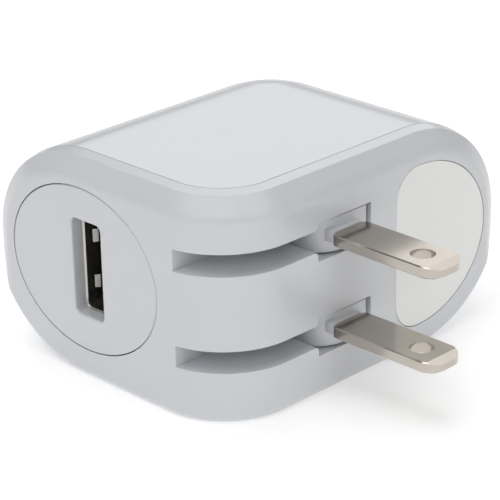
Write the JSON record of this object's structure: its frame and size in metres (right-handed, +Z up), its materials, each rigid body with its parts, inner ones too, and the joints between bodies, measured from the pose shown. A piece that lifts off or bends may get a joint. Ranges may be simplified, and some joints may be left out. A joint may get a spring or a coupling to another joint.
{
  "type": "usb wall charger",
  "caption": "White mains USB charger: rounded casing with an upright USB socket in one face and flat blades that fold into slots round the front corner.",
  "frame": {"origin": "centre of the flat underside of the casing", "axes": "+Z up; +X out of the plug face, along the unfolded blades; -Y out of the USB face"},
  "size_m": [0.062, 0.053, 0.0305],
  "materials": {
    "gloss_white_plastic": "glossy cool white polycarbonate with a faint mould texture",
    "gloss_white_plate": "glossy cool white, slightly smoother than the shells",
    "label_film": "matte pale grey-green film, blank",
    "nickel_plate": "nickel-plated brass with drawn grain and a warm tint",
    "carrier_plastic": "satin white nylon",
    "shield_steel": "dull nickel-plated steel",
    "black_insulator": "matte black",
    "contact_gold": "gold-flashed bronze",
    "spring_bronze": "bare phosphor bronze",
    "spring_steel": "bright spring steel",
    "board_laminate": "green solder mask",
    "ferrite": "dark grey sintered ferrite",
    "bobbin_plastic": "black phenolic",
    "copper_wire": "enamelled copper",
    "winding_tape": "yellow polyester tape",
    "capacitor_sleeve": "black shrink sleeve",
    "disc_ceramic": "blue epoxy coat",
    "chip_epoxy": "black moulding compound",
    "resistor_coat": "blue-green lacquer",
    "bracket_plastic": "natural white nylon"
  },
  "bodies": {
    "casing": {"front_shell": "gloss_white_plastic", "rear_shell": "gloss_white_plastic", "usb_face_plate": "gloss_white_plate", "rating_label": "label_film", "usb_shield": "shield_steel", "usb_tongue": "black_insulator", "usb_contacts": "contact_gold", "circuit_board": "board_laminate", "transformer_core": "ferrite", "transformer_bobbin": "bobbin_plastic", "primary_winding": "copper_wire", "secondary_winding": "winding_tape", "input_capacitor_1": "capacitor_sleeve", "input_capacitor_2": "capacitor_sleeve", "output_capacitor_1": "capacitor_sleeve", "output_capacitor_2": "capacitor_sleeve", "safety_capacitor": "disc_ceramic", "optocoupler": "chip_epoxy", "controller_chip": "chip_epoxy", "bridge_rectifier": "chip_epoxy", "output_diode": "chip_epoxy", "fusible_resistor": "resistor_coat", "choke_core": "ferrite", "choke_winding": "copper_wire", "hinge_bracket": "bracket_plastic", "line_contact": "spring_bronze", "neutral_contact": "spring_bronze", "detent_spring": "spring_steel"},
    "prongs": {"prong_carrier": "carrier_plastic", "upper_blade": "nickel_plate", "lower_blade": "nickel_plate"}
  },
  "joints": [
    {"name": "prong_fold", "type": "hinge", "parent": "casing", "child": "prongs", "pos_m": [0.0174, -0.00505, 0.015], "axis": [0, 0, -1], "range_deg": [0, 90]}
  ]
}
